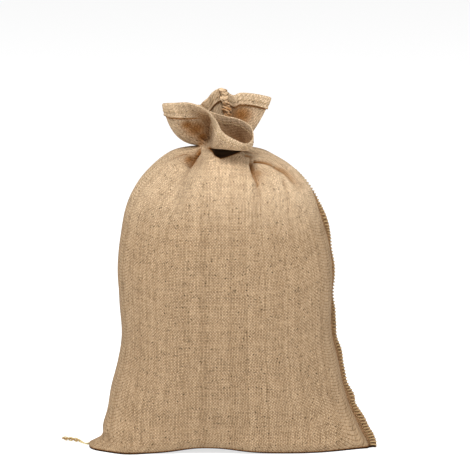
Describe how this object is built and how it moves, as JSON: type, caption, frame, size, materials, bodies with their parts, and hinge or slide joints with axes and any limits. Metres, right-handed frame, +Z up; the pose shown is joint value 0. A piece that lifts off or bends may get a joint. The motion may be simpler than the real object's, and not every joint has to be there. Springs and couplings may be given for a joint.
{
  "type": "hessian sack",
  "caption": "Filled hessian sack standing on its base, neck gathered and hemmed mouth flared open in folds, with an overedged side seam and a loose end of sewing thread.",
  "frame": {"origin": "on the floor, under the middle of the sack's base", "axes": "+Z up, +X towards the overedged side seam, -Y towards the front that shows the folds and the low side of the mouth"},
  "size_m": [0.5491, 0.2555, 0.6261],
  "materials": {
    "hessian": "coarse plain-woven jute, matt",
    "sewing_thread": "chain of golden brown jute sewing thread, matt"
  },
  "bodies": {
    "root": {"sack_cloth": "hessian", "thread_tail": "sewing_thread"}
  },
  "joints": []
}
